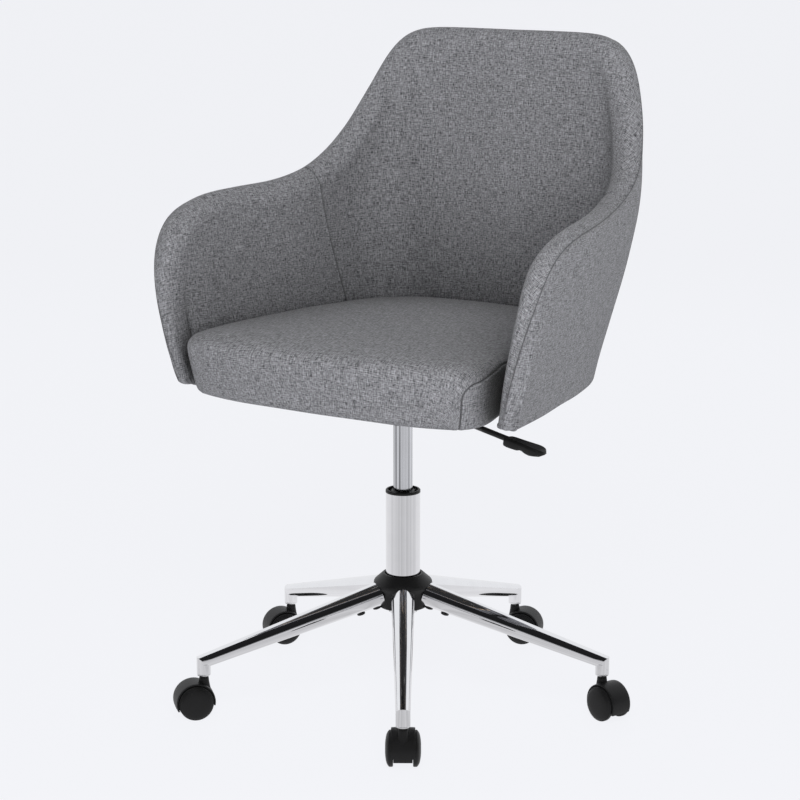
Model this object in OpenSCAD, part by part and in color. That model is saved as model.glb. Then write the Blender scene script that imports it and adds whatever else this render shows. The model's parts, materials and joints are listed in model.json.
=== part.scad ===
// Swivel office chair: upholstered one-piece shell on a gas lift and a five-leg caster base.
// Millimetres, +Z up. The origin is on the floor under the column. The sitter faces -Y.

/* [Base] */
// Distance from the column to each caster stem
reach = 300; // [280:1:320]
// Diameter of a leg where it leaves the hub
leg_root_d = 35; // [33:0.5:36]
// Diameter of a leg where it meets its socket
leg_tip_d = 20.5; // [19:0.5:21]
// Height of a leg's centre line at its root
leg_root_z = 156; // [155:1:157]
// Height of a leg's centre line at its tip
leg_tip_z = 82; // [81:0.5:83]
// Diameter of the vertical caster sockets
socket_d = 20; // [19:0.5:24]
// Height of the hub's lower face
hub_z = 138; // [136:1:140]
// Radius of the hub's widest rim
hub_r = 42; // [40:1:46]

/* [Gas lift] */
// Diameter of the outer column tube
tube_d = 50; // [50:0.5:52]
// Height of the column tube's mouth
tube_top_z = 308; // [302:1:308]
// Diameter of the sliding gas cylinder
cylinder_d = 28; // [28:0.5:29]
// Height of the gas cylinder's lower end when raised
cylinder_z = 233; // [233:1:240]
// Radial clearance of parts that slide or turn on each other
running = 0.05; // [0.02:0.01:0.1]

/* [Casters] */
// Diameter of a caster wheel
wheel_d = 50; // [48:0.5:52]
// Distance from a caster's stem to its axle
trail = 14.5; // [13:0.5:16]
// Width of a caster body between its wheels
web_w = 26; // [24:0.5:28]
// Width of a caster's fender
fender_w = 33; // [30:0.5:36]
// Width over both wheels of a caster
caster_w = 49; // [47:0.5:50]
// Diameter of the fixed caster stems
stem_d = 10; // [9:0.5:10]

/* [Seat] */
// Height of the underside of the seat and the shell
seat_z = 464; // [464:1:466]
// Height of the crown of the seat cushion
seat_top_z = 560; // [556:1:564]
// Thickness of the seat board
board_t = 12; // [9:0.5:14]

/* [Shell] */
// Wall thickness of the padded shell
wall_t = 42; // [38:1:44]
// Wall thickness at the lower front corners of the arms
front_t = 31; // [28:1:34]
// Height of the rounded edge along the rim
edge_h = 17; // [14:1:20]
// Thickness of the bent board inside the shell
frame_t = 9; // [7:0.5:11]

/* [Hidden] */
$fn = 64;

// Legs: the first points between the front and the sitter's left
legs = 5;
first_leg_angle = -57.5;
// Direction in which each caster trails at rest
caster_angles = [122, -20, 15, 233, 228];

hub_body_r = 33.5;
hub_mouth_r = 29;
flare_z = 170;
leg_root_r = 40;
leg_wall = 1.8;
leg_slope = atan((leg_root_z - leg_tip_z) / (reach - leg_root_r));
socket_z = 61.5;
socket_top_z = 79;
socket_bore_r = stem_d / 2 + 0.5;
leg_start = 7.5;
tongue_end = 52;
tongue_r = 13;
screw_r = 3;
screw_head_r = 6;
screw_face = leg_root_d / 2 - 1;
screws_along = [18, 43];

tube_wall = 1.6;
tube_foot_z = 128;
tube_foot_r = 21;
race_z = 131;
race_t = 2.5;
ball_r = 1.98;
rod_r = 5;
stop_z = 140;
piston_z = 250;
cylinder_top_z = 438;
socket_tube_z = 410;
pin_r = 4;
pin_z = 424;
pin_top_z = 444;

wheel_r = wheel_d / 2;
axle_r = 4;
fender_r = wheel_r + 3.5;
fender_in_r = wheel_r + 1.2;
web_foot_z = 12;

plate_t = 3;
plate_z = seat_z - plate_t;
plate_size = [180, 150];
housing_size = [110, 90];
housing_z = 420;
housing_wall = 2.5;
bolt_x = 65;
bolt_y = 55;
strap_w = 24;
strap_screw_x = [-75, 0];
lever_pivot_at = [50, -23.5, 447];
lever_turn = atan2(-88, 187);
lever_r = 4;
bend_swell = 0.05;
lever_points = [[0, 0, pin_top_z + 0.3 + lever_r], [187, -88, 442.3], [222, -81, 431.5], [240, -83, 427]];

// Rim seam of the shell, from an arm's lower front corner to the middle of the back's top
rim_line = [
    [264, -172, 470], [285, -191, 540], [315, -178, 642], [320, -132, 708], [322, -30, 724],
    [282, 103, 725], [269, 215, 762], [231, 280, 868], [188, 313, 953], [116, 323, 949], [0, 324, 948]
];
// Lower outer edge of the shell, from the same corner to the middle of the back
foot_line = [
    [270, -158, seat_z], [272, -146, seat_z], [269, -100, seat_z], [256, -10, seat_z],
    [243, 70, seat_z], [226, 150, seat_z], [197, 217, seat_z], [152, 268, seat_z],
    [92, 282, seat_z], [48, 284, seat_z], [0, 284, seat_z]
];
// Plan outline of the seat cushion at its widest, from the middle of the front to the middle of the back
cushion_line = [
    [0, -236], [70, -236], [170, -229], [230, -216], [246, -180], [242, -95], [233, -30],
    [222, 40], [204, 120], [188, 178], [155, 222], [105, 241], [50, 246], [0, 246]
];
// Each level of the cushion, from its crown down: height, how far it draws in all round, and how far
// its sides tuck in between the arms
cushion_levels = [
    [seat_top_z, 140, 0], [seat_top_z - 3, 75, 0], [seat_top_z - 8, 30, 0], [seat_top_z - 17, 8, 0],
    [seat_z + 68, 1, 0], [seat_z + 48, 1, 6], [seat_z + 24, 1, 16], [seat_z + 6, 1, 26], [seat_z, 4, 32]
];
cushion_half = 240;
front_tuck = 0.4;
board_inset = 46;
cushion_centre_y = 5;
shell_columns = 30;
// Column of the upright seam between an arm's padding and the back's, and the gap there as a share
seam_column = 16;
seam_gap = 0.0024;
wall_rows = 6;
cap_rows = 7;
slot_rows = wall_rows;
cap_power = 2.6;
slot_top = 0.86;
frame_gap = 1.2;

// ---------- Helpers ----------
function mix(a, b, f) = a * (1 - f) + b * f;
function unit(v) = v / norm(v);
function ramp(x) = min(1, max(0, x));
function knot(j, n) = ramp((j - 3) / (n - 3));
function ratio(a, b) = b > 0 ? a / b : 0;
// Weight of control point j in a clamped B-spline of n points
function basis(j, k, t, n) =
    k == 0 ? (knot(j, n) <= t && t < knot(j + 1, n) ? 1 : 0)
    : ratio(t - knot(j, n), knot(j + k, n) - knot(j, n)) * basis(j, k - 1, t, n)
    + ratio(knot(j + k + 1, n) - t, knot(j + k + 1, n) - knot(j + 1, n)) * basis(j + 1, k - 1, t, n);
// Point at t, from 0 to 1, of the cubic curve that the control points shape
function spline(points, t) =
    let(s = min(ramp(t), 0.99999))
    [for (j = [0:len(points) - 1]) basis(j, 3, s, len(points))] * points;
function heading(points, t) = unit(spline(points, t + 0.001) - spline(points, t - 0.001));
function mirrored(points) = [for (p = points) [-p[0], p[1], p[2]]];

// A closed solid through a row of rings that all have the same number of points
module loft(rings, lids = []) {
    m = len(rings[0]);
    n = len(rings);
    sides = [for (i = [0:n - 2]) for (j = [0:m - 1]) for (half = [0, 1])
        let(k = (j + 1) % m)
        half == 0 ? [i * m + j, i * m + k, (i + 1) * m + k]
                  : [i * m + j, (i + 1) * m + k, (i + 1) * m + j]];
    faces = len(lids) > 0 ? lids : [[for (j = [0:m - 1]) j]];
    first = [for (face = faces) [for (i = [len(face) - 1:-1:0]) face[i]]];
    last = [for (face = faces) [for (j = face) (n - 1) * m + j]];
    polyhedron([for (ring = rings) each ring], concat(sides, first, last));
}

module ring(outer_r, inner_r, low, high) {
    translate([0, 0, low])
        difference() {
            cylinder(r = outer_r, h = high - low);
            translate([0, 0, -1]) cylinder(r = inner_r, h = high - low + 2);
        }
}

// A round bar from one point to another
module bar(a, b, r) {
    d = b - a;
    translate(a)
        rotate([0, acos(d[2] / norm(d)), atan2(d[1], d[0])])
            cylinder(r = r, h = norm(d));
}

// ---------- Base ----------
// Turns a leg, drawn along +X from the column, to its place
module leg_place(number) {
    rotate([0, 0, first_leg_angle + (number - 1) * 360 / legs]) children();
}

// The axis of a leg: its children are drawn along +Z from the root outwards
module leg_axis() {
    translate([leg_root_r - 12, 0, leg_root_z + 12 * tan(leg_slope)])
        rotate([0, 90 + leg_slope, 0]) children();
}

leg_length = (reach - leg_root_r + 12) / cos(leg_slope);

// The screws of a leg: children are drawn along +Z from the leg's axis, downwards
module screw_places() {
    for (along = screws_along) translate([0, 0, along]) rotate([0, 90, 0]) children();
}

// Everything between the column and the outer wall of a leg's socket
module inside_reach() {
    translate([reach, 0, socket_top_z - 20]) cylinder(r = socket_d / 2, h = 60);
    translate([0, -reach / 4, 0]) cube([reach, reach / 2, reach]);
}

module leg(number) {
    past = socket_d;
    widening = (leg_root_d - leg_tip_d) / (leg_length - leg_start);
    color("gainsboro") leg_place(number) difference() {
        union() {
            intersection() {
                leg_axis() translate([0, 0, leg_start])
                    cylinder(r1 = leg_root_d / 2, r2 = (leg_tip_d - widening * past) / 2,
                             h = leg_length - leg_start + past);
                inside_reach();
            }
            translate([reach, 0, socket_z]) cylinder(r = socket_d / 2, h = socket_top_z - socket_z);
        }
        leg_axis() translate([0, 0, leg_start - 1])
            cylinder(r1 = leg_root_d / 2 - leg_wall, r2 = leg_tip_d / 2 - leg_wall,
                     h = leg_length - leg_start - 17);
        translate([reach, 0, socket_z - 1]) cylinder(r = socket_bore_r, h = 24);
        leg_axis() screw_places() {
            cylinder(r = screw_r, h = leg_root_d);
            translate([0, 0, screw_face]) cylinder(r = screw_head_r, h = leg_root_d);
        }
    }
}

module base_hub() {
    color([0.05, 0.05, 0.055]) difference() {
        union() {
            translate([0, 0, hub_z]) cylinder(r = hub_body_r, h = 24);
            translate([0, 0, flare_z - 12]) cylinder(r1 = hub_body_r, r2 = hub_r, h = 12);
            translate([0, 0, flare_z]) cylinder(r = hub_r, h = 4);
            translate([0, 0, flare_z + 4]) cylinder(r1 = hub_r, r2 = hub_mouth_r, h = 12);
        }
        translate([0, 0, hub_z - 1]) cylinder(r = tube_d / 2, h = 60);
        for (n = [1:legs])
            leg_place(n) leg_axis() translate([0, 0, leg_start - 0.1])
                cylinder(r = leg_root_d / 2, h = 30);
    }
    color([0.05, 0.05, 0.055]) difference() {
        for (n = [1:legs])
            leg_place(n) leg_axis() cylinder(r = tongue_r, h = tongue_end);
        cylinder(r = tube_d / 2 + 0.5, h = 300);
        for (n = [1:legs])
            leg_place(n) leg_axis() screw_places() cylinder(r = screw_r, h = leg_root_d);
    }
}

module leg_screws() {
    color([0.12, 0.12, 0.12]) for (n = [1:legs]) leg_place(n) leg_axis() screw_places() {
        translate([0, 0, 2]) cylinder(r = screw_r, h = screw_face);
        translate([0, 0, screw_face]) cylinder(r = screw_head_r, h = 3.2);
    }
}

// ---------- Gas lift ----------
module column_tube() {
    r = tube_d / 2;
    color("silver") rotate_extrude()
        polygon([
            [rod_r + running, tube_foot_z], [tube_foot_r, tube_foot_z], [tube_foot_r, hub_z + 2],
            [r, hub_z + 12], [r, tube_top_z], [r - tube_wall, tube_top_z],
            [r - tube_wall, hub_z + 13], [tube_foot_r - tube_wall, hub_z + 3],
            [tube_foot_r - tube_wall, race_z], [rod_r + running, race_z]
        ]);
}

module guide_bush() {
    color([0.09, 0.09, 0.09])
        ring(tube_d / 2 - tube_wall, cylinder_d / 2 + running, tube_top_z - 70, tube_top_z - 6);
}

// The bush's visible head: a cup with radial ribs that caps the tube's mouth
module column_collar() {
    low = tube_top_z - 6;
    cup_r = tube_d / 2 - 3;
    color([0.06, 0.06, 0.06]) {
        rotate_extrude() polygon([
            [cylinder_d / 2 + running, low], [tube_d / 2 - tube_wall, low],
            [tube_d / 2 - tube_wall, tube_top_z], [tube_d / 2 + 0.3, tube_top_z],
            [tube_d / 2 + 0.3, tube_top_z + 3], [tube_d / 2 - 0.7, tube_top_z + 4],
            [cup_r, tube_top_z + 4], [cup_r, low + 2], [17, low + 2],
            [17, tube_top_z + 2.5], [cylinder_d / 2 + running, tube_top_z + 2.5]
        ]);
        for (a = [0:45:315]) rotate([0, 0, a])
            translate([16.5, -0.7, low + 1]) cube([cup_r - 16, 1.4, 7.5]);
    }
}

module bearing_lower_race() {
    color("silver") ring(15, rod_r + 0.2, race_z, race_z + race_t);
}

module bearing_upper_race() {
    low = race_z + race_t + 4;
    color("silver") ring(15, rod_r, low, low + race_t);
}

module bearing_balls() {
    color("silver") for (a = [0:36:324])
        rotate([0, 0, a]) translate([10.5, 0, race_z + race_t + 2]) sphere(r = ball_r);
}

module piston_rod() {
    color("silver") translate([0, 0, 122]) cylinder(r = rod_r, h = piston_z + 12 - 122);
}

module piston() {
    color([0.15, 0.15, 0.15]) ring(11.5 - running, rod_r, piston_z, piston_z + 12);
}

module retaining_clip() {
    color([0.3, 0.3, 0.3]) ring(9, rod_r, tube_foot_z - 2.2, tube_foot_z - 0.2);
}

module rubber_stop() {
    color([0.05, 0.05, 0.05]) ring(10, rod_r, stop_z, stop_z + 2.6);
}

module gas_cylinder() {
    r = cylinder_d / 2;
    color([0.75, 0.76, 0.78]) rotate_extrude()
        polygon([
            [rod_r + running, cylinder_z], [r - 1, cylinder_z], [r, cylinder_z + 1],
            [r, 406], [r - 1, cylinder_top_z], [pin_r + running, cylinder_top_z],
            [pin_r + running, 412], [0, 412], [0, 400], [11.5, 400],
            [11.5, cylinder_z + 10], [rod_r + running, cylinder_z + 10]
        ]);
}

module release_pin() {
    color([0.45, 0.1, 0.1]) translate([0, 0, pin_z]) cylinder(r = pin_r, h = pin_top_z - pin_z);
}

// ---------- Mechanism and lever ----------
module mechanism_housing() {
    x = housing_size[0] / 2;
    y = housing_size[1] / 2;
    h = plate_z - housing_z;
    w = housing_wall;
    color([0.08, 0.08, 0.08]) difference() {
        union() {
            translate([-x, -y, housing_z]) cube([2 * x, 2 * y, h]);
            translate([0, 0, socket_tube_z]) cylinder(r = 19, h = cylinder_top_z - socket_tube_z);
        }
        difference() {
            translate([-x + w, -y + w, housing_z + w]) cube([2 * x - 2 * w, 2 * y - 2 * w, h]);
            cylinder(r = 19, h = cylinder_top_z);
            lever_frame() for (side = [-1, 1])
                translate([-7, side * 7 - 2, -30]) cube([14, 4, 36]);
        }
        translate([0, 0, 406])
            cylinder(r1 = cylinder_d / 2, r2 = cylinder_d / 2 - 1, h = cylinder_top_z - 406);
        translate([0, 0, cylinder_top_z - 0.01]) cylinder(r = cylinder_d / 2 - 1, h = 1);
        lever_frame() translate([0, -10, 0]) rotate([-90, 0, 0]) cylinder(r = 2.5, h = 20);
        lever_frame() translate([-6, -7, -10]) cube([22, 14, 40]);
    }
}

// Children are drawn with the pivot at the origin and the lever along +X
module lever_frame() {
    translate(lever_pivot_at) rotate([0, 0, lever_turn]) children();
}

module lever_pivot() {
    color("silver") lever_frame() translate([0, -9, 0]) rotate([-90, 0, 0]) cylinder(r = 2.5, h = 18);
}

// The round rod of the lever, from over the release pin to its end inside the paddle
module lever_line() {
    for (i = [0:len(lever_points) - 2]) {
        translate(lever_points[i]) sphere(r = lever_r + bend_swell);
        bar(lever_points[i], lever_points[i + 1], lever_r);
    }
}

module lever_rod() {
    color([0.05, 0.05, 0.05]) difference() {
        union() {
            lever_line();
            lever_frame() translate([0, -4.5, 0]) rotate([-90, 0, 0]) cylinder(r = 6, h = 9);
        }
        lever_frame() translate([0, -10, 0]) rotate([-90, 0, 0]) cylinder(r = 2.5 + running, h = 20);
    }
}

module lever_paddle() {
    color([0.04, 0.04, 0.04]) difference() {
        translate([225, -82, 429]) rotate([0, 8.5, -4]) hull() {
            sphere(r = 7, $fn = 24);
            translate([41, 7, 0]) sphere(r = 6, $fn = 24);
            translate([41, -7, 0]) sphere(r = 6, $fn = 24);
            translate([51, 3, 0]) sphere(r = 5, $fn = 24);
            translate([51, -3, 0]) sphere(r = 5, $fn = 24);
        }
        lever_line();
    }
}

module mounting_plate() {
    color([0.1, 0.1, 0.1]) translate([0, 0, plate_z]) difference() {
        translate([-plate_size[0] / 2, -plate_size[1] / 2, 0])
            cube([plate_size[0], plate_size[1], plate_t]);
        for (x = [-bolt_x, bolt_x]) for (y = [-bolt_y, bolt_y])
            translate([x, y, -1]) cylinder(r = 3.2, h = plate_t + 2);
    }
}

module plate_bolts() {
    color("dimgray") for (x = [-bolt_x, bolt_x]) for (y = [-bolt_y, bolt_y])
        translate([x, y, plate_z - 4]) {
            cylinder(r = 6, h = 4);
            cylinder(r = 3, h = 4 + plate_t + board_t);
        }
}

module t_nuts() {
    color("silver") for (x = [-bolt_x, bolt_x]) for (y = [-bolt_y, bolt_y])
        translate([x, y, 0]) {
            ring(4.5, 3, seat_z + 1, seat_z + board_t);
            ring(9, 4.5, seat_z + board_t - 1.5, seat_z + board_t);
        }
}

// ---------- Seat ----------
// Plan outline of the cushion at height z, drawn in by the inset, and tucked in less ahead of the arms
function cushion_ring(z, inset, tuck = 0) =
    let(half = [for (i = [0:24]) spline(cushion_line, i / 24)],
        whole = concat(half, [for (i = [23:-1:1]) [-half[i][0], half[i][1]]]),
        sy = 1 - (inset + front_tuck * tuck) / cushion_half)
    [for (p = whole)
        let(hold = mix(front_tuck, 1, ramp((p[1] + 180) / 110)))
        [p[0] * (1 - (inset + hold * tuck) / cushion_half), mix(cushion_centre_y, p[1], sy), z]];

module board_outline(inset) {
    polygon([for (p = cushion_ring(0, inset)) [p[0], p[1]]]);
}

module seat_cushion() {
    color([0.45, 0.46, 0.48]) difference() {
        loft([for (level = cushion_levels) cushion_ring(level[0], level[1], level[2])]);
        translate([0, 0, seat_z - 1]) linear_extrude(board_t + 1.2) board_outline(board_inset);
    }
}

module seat_board() {
    color("burlywood") difference() {
        translate([0, 0, seat_z]) linear_extrude(board_t) board_outline(board_inset + 0.5);
        for (x = [-bolt_x, bolt_x]) for (y = [-bolt_y, bolt_y]) translate([x, y, seat_z - 1]) {
            cylinder(r = 4.5, h = board_t + 2);
            translate([0, 0, board_t - 0.5]) cylinder(r = 9, h = 3);
        }
        strap_places() translate([strap_screw_x[0], 0, seat_z - 1]) cylinder(r = 2, h = board_t + 2);
    }
}

module dust_cover() {
    color([0.03, 0.03, 0.03]) translate([0, 0, seat_z - 1]) difference() {
        linear_extrude(0.8) board_outline(board_inset + 6);
        translate([-plate_size[0] / 2 - 2, -plate_size[1] / 2 - 2, -1])
            cube([plate_size[0] + 4, plate_size[1] + 4, 3]);
        strap_places() translate([-90, -strap_w / 2 - 1, -1]) cube([124, strap_w + 2, 3]);
    }
}

// ---------- Shell ----------
// Foot point, top of the outer wall, outward directions at both, edge direction, thickness, fullness
function wall_frame(t) =
    let(top = spline(rim_line, t),
        foot = spline(foot_line, t),
        rise = unit(top - foot),
        run = heading(rim_line, t),
        out_top = unit(cross(run, rise)),
        out_foot = unit(cross(heading(foot_line, t), [0, 0, 1])),
        across = unit(cross(out_top, run)),
        up = across * sign(across * rise),
        thick = mix(front_t, wall_t, ramp(t / 0.2)),
        seam = 0.45 + 0.33 * ramp(t / 0.15),
        drop = edge_h * pow(1 - pow(seam, cap_power), 1 / cap_power),
        edge = top - up * drop + out_top * (1 - seam) * thick / 2,
        full = 5 + 8.5 * exp(-pow((t - 0.7) / 0.14, 2)))
    [foot, edge, out_foot, out_top, up, thick, full];

// Point of the wall at height share v, at a depth below the outer surface
function wall(f, v, depth) =
    mix(f[0], f[1], v) + unit(mix(f[2], f[3], v)) * (f[6] * 6.75 * v * v * (1 - v) - depth);

// Point of the rounded rim edge, from the outer side at 0 to the inner side at 180
function cap(f, angle) =
    let(a = cos(angle), b = sin(angle),
        k = pow(pow(abs(a), cap_power) + pow(abs(b), cap_power), -1 / cap_power))
    f[1] - f[3] * f[5] / 2 * (1 - a * k) + f[4] * edge_h * b * k;

// One closed section of the padding, with the slot that holds the bent board
function padding_section(t) =
    let(f = wall_frame(t), mid = f[5] / 2, slot = frame_t / 2 + frame_gap)
    concat(
        [for (i = [0:wall_rows]) wall(f, i / wall_rows, 0)],
        [for (i = [1:cap_rows - 1]) cap(f, 180 * i / cap_rows)],
        [for (i = [wall_rows:-1:0]) wall(f, i / wall_rows, f[5])],
        [for (i = [0:slot_rows]) wall(f, slot_top * i / slot_rows, mid + slot)],
        [for (i = [slot_rows:-1:0]) wall(f, slot_top * i / slot_rows, mid - slot)]
    );

// Triangles that close the end of a section folded once, whose point j lies across from point m - 1 - j
function folded_lids(rows, m) =
    [for (j = [0:rows - 1]) each [[j, j + 1, m - 2 - j], [j, m - 2 - j, m - 1 - j]]];

// Triangles that close the end of a padding section: its outer strip, its inner strip and its rim
padding_points = 4 * wall_rows + cap_rows + 3;
inner_top = wall_rows + cap_rows;
slot_inner_top = inner_top + 2 * wall_rows + 1;
padding_lids = concat(
    folded_lids(wall_rows, padding_points),
    [for (i = [0:wall_rows - 1])
        let(a = inner_top + i, b = slot_inner_top - i)
        each [[a, a + 1, b - 1], [a, b - 1, b]]],
    [[slot_inner_top, slot_inner_top + 1, wall_rows]],
    [for (k = [wall_rows:inner_top - 1]) [slot_inner_top, k, k + 1]]
);

// Point of the bent board at row i and the given depth: its last row stops short of the slot's end
function board_point(f, i, depth) =
    i < slot_rows ? wall(f, slot_top * i / slot_rows, depth)
    : mix(wall(f, slot_top * (i - 1) / slot_rows, depth), wall(f, slot_top, depth), 0.9);

// One closed section of the bent board
function board_section(t) =
    let(f = wall_frame(t), mid = f[5] / 2)
    concat(
        [for (i = [0:slot_rows]) board_point(f, i, mid - frame_t / 2)],
        [for (i = [slot_rows:-1:0]) board_point(f, i, mid + frame_t / 2)]
    );

// Sections from column first on the sitter's left, round the back, to the same place on the right
function left_and_right(sections) =
    let(n = len(sections))
    concat(sections, [for (i = [n - 2:-1:0]) mirrored(sections[i])]);

arm_shares = [for (i = [0:seam_column]) i / shell_columns - (i == seam_column ? seam_gap : 0)];
back_shares = [for (i = [seam_column:shell_columns]) i / shell_columns + (i == seam_column ? seam_gap : 0)];

module arm_padding_left() {
    color([0.42, 0.43, 0.45]) loft([for (t = arm_shares) padding_section(t)], padding_lids);
}

module arm_padding_right() {
    color([0.42, 0.43, 0.45])
        loft([for (i = [seam_column:-1:0]) mirrored(padding_section(arm_shares[i]))], padding_lids);
}

module back_padding() {
    color([0.42, 0.43, 0.45])
        loft(left_and_right([for (t = back_shares) padding_section(t)]), padding_lids);
}

module shell_frame() {
    sections = [for (i = [4:shell_columns]) board_section(i / shell_columns)];
    color("burlywood") loft(left_and_right(sections), folded_lids(slot_rows, 2 * slot_rows + 2));
}

// Four steel straps join the shell to the seat board: drawn with the screw into the shell at x = 0
module strap_places() {
    for (side = [-1, 1]) {
        translate([side * 228, 30, 0]) rotate([0, 0, side > 0 ? 0 : 180]) children();
        translate([side * 90, 259.5, 0]) rotate([0, 0, 90]) children();
    }
}

module shell_straps() {
    color([0.1, 0.1, 0.1]) strap_places() difference() {
        translate([-87, -strap_w / 2, plate_z]) cube([97, strap_w, plate_t]);
        for (x = strap_screw_x) translate([x, 0, plate_z - 1]) cylinder(r = 2, h = plate_t + 2);
    }
}

module strap_screws() {
    color("silver") strap_places() for (x = strap_screw_x) translate([x, 0, plate_z - 2]) {
        cylinder(r = 4, h = 2);
        cylinder(r = 2, h = 14);
    }
}

// ---------- Casters ----------
// The socket of a leg: children are drawn with the stem on the Z axis
module socket_place(number) {
    leg_place(number) translate([reach, 0, 0]) rotate([0, 0, -first_leg_angle - (number - 1) * 72])
        children();
}

// The caster at rest: children are drawn with the axle along Y through the origin
module axle_place(number) {
    socket_place(number) rotate([0, 0, caster_angles[number - 1]])
        translate([trail, 0, wheel_r]) children();
}

module caster_stems() {
    color([0.1, 0.1, 0.1]) for (n = [1:legs]) socket_place(n) {
        translate([0, 0, 40]) cylinder(r = stem_d / 2, h = 44);
        translate([0, 0, 58.5]) cylinder(r = 6.5, h = 3);
    }
}

module grip_rings() {
    color("silver") for (n = [1:legs]) socket_place(n) ring(socket_bore_r, stem_d / 2, 74, 79);
}

module caster_body(number) {
    color([0.04, 0.04, 0.04]) axle_place(number) difference() {
        union() {
            translate([0, web_w / 2, 0]) rotate([90, 0, 0]) cylinder(r = fender_in_r, h = web_w);
            difference() {
                translate([0, fender_w / 2, 0]) rotate([90, 0, 0]) cylinder(r = fender_r, h = fender_w);
                translate([0, fender_w, 0]) rotate([90, 0, 0])
                    cylinder(r = fender_in_r, h = 2 * fender_w);
                translate([-fender_r - 1, -fender_w, -fender_r - 1])
                    cube([2 * fender_r + 2, 2 * fender_w, fender_r - 6]);
            }
            translate([-trail, 0, 0]) cylinder(r = 7.5, h = 58 - wheel_r);
        }
        translate([0, caster_w, 0]) rotate([90, 0, 0]) cylinder(r = axle_r, h = 2 * caster_w);
        translate([-trail, 0, 40 - wheel_r - 0.5]) cylinder(r = stem_d / 2 + running, h = 40);
        translate([-50, -50, -60]) cube([100, 100, 60 + web_foot_z - wheel_r]);
    }
}

module axle(number) {
    color("silver") axle_place(number)
        translate([0, 22, 0]) rotate([90, 0, 0]) cylinder(r = axle_r, h = 44);
}

// A domed wheel: side is 1 on the axle's +Y end and -1 on the other
module wheel(number, side) {
    inner = web_w / 2 + 0.4;
    outer = caster_w / 2;
    rim = outer - 6;
    color([0.05, 0.05, 0.05]) axle_place(number) rotate([side > 0 ? -90 : 90, 0, 0]) rotate_extrude()
        polygon(concat(
            [[axle_r + running, inner], [wheel_r - 1, inner], [wheel_r, inner + 1]],
            [for (a = [0:10:80]) [wheel_r - 12 + 12 * cos(a), rim + 6 * sin(a)]],
            [[0, outer], [0, 22.3], [axle_r + running, 22.3]]
        ));
}

base_hub();
leg(1);  // leg_1
leg(2);  // leg_2
leg(3);  // leg_3
leg(4);  // leg_4
leg(5);  // leg_5
leg_screws();
column_tube();
guide_bush();
column_collar();
bearing_lower_race();
bearing_balls();
caster_stems();
grip_rings();
piston_rod();
piston();
bearing_upper_race();
retaining_clip();
rubber_stop();
gas_cylinder();
release_pin();
lever_rod();
lever_paddle();
lever_pivot();
mechanism_housing();
mounting_plate();
plate_bolts();
t_nuts();
seat_board();
dust_cover();
seat_cushion();
shell_frame();
arm_padding_left();
back_padding();
arm_padding_right();
shell_straps();
strap_screws();
caster_body(1);  // caster_body_1
caster_body(2);  // caster_body_2
caster_body(3);  // caster_body_3
caster_body(4);  // caster_body_4
caster_body(5);  // caster_body_5
axle(1);  // axle_1
axle(2);  // axle_2
axle(3);  // axle_3
axle(4);  // axle_4
axle(5);  // axle_5
wheel(1, 1);  // wheel_1_left
wheel(2, 1);  // wheel_2_left
wheel(3, 1);  // wheel_3_left
wheel(4, 1);  // wheel_4_left
wheel(5, 1);  // wheel_5_left
wheel(1, -1);  // wheel_1_right
wheel(2, -1);  // wheel_2_right
wheel(3, -1);  // wheel_3_right
wheel(4, -1);  // wheel_4_right
wheel(5, -1);  // wheel_5_right
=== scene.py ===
"""Swivel office chair: the looks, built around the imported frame. Metres, +Z up, the sitter faces -Y."""

import json
import math

import bmesh
import bpy
import numpy as np
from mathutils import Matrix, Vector, noise


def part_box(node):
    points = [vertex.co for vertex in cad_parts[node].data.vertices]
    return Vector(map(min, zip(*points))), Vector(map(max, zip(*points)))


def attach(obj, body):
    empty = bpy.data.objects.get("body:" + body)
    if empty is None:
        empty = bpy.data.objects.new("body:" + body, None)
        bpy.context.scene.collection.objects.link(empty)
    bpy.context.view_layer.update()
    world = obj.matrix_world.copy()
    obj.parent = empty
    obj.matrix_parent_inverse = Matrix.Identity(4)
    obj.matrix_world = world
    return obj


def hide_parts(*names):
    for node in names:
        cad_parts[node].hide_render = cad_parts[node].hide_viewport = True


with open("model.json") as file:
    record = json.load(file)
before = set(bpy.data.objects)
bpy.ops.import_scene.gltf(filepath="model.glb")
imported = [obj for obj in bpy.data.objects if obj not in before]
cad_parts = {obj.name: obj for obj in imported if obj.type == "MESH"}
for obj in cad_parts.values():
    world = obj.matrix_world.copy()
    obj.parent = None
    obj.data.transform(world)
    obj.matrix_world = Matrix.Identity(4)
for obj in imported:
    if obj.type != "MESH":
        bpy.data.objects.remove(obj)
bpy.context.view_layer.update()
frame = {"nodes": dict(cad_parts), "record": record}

scene = bpy.context.scene
MM = 0.001


# ---------- Camera ----------
camera_data = bpy.data.cameras.new("camera")
camera_data.sensor_width = 36
camera_data.lens = 103.5
camera_data.shift_x = -0.00375
camera_data.clip_start = 0.05
camera = bpy.data.objects.new("camera", camera_data)
scene.collection.objects.link(camera)
camera.location = (1.7301, -2.7157, 1.1756)
aim = Vector((0, 0, 0.444)) - camera.location
camera.rotation_euler = aim.to_track_quat("-Z", "Y").to_euler()
scene.camera = camera


# ---------- Mesh helpers ----------
def unit(v):
    return v / np.maximum(np.linalg.norm(v, axis=-1, keepdims=True), 1e-12)


def mix(a, b, f):
    return a * (1 - f) + b * f


def fillet(points, radii, steps=4):
    """The open outline with each inner corner rounded by its own radius."""
    points = [np.array(p, float) for p in points]
    out = [points[0]]
    for before, corner, after, r in zip(points, points[1:], points[2:], radii):
        a, b = before - corner, after - corner
        reach = min(r, np.linalg.norm(a) * 0.49, np.linalg.norm(b) * 0.49)
        a, b = corner + unit(a) * reach, corner + unit(b) * reach
        for s in np.linspace(0, 1, steps + 1):
            out.append(a * (1 - s) ** 2 + corner * 2 * s * (1 - s) + b * s * s)
    return out + [points[-1]]


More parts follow.
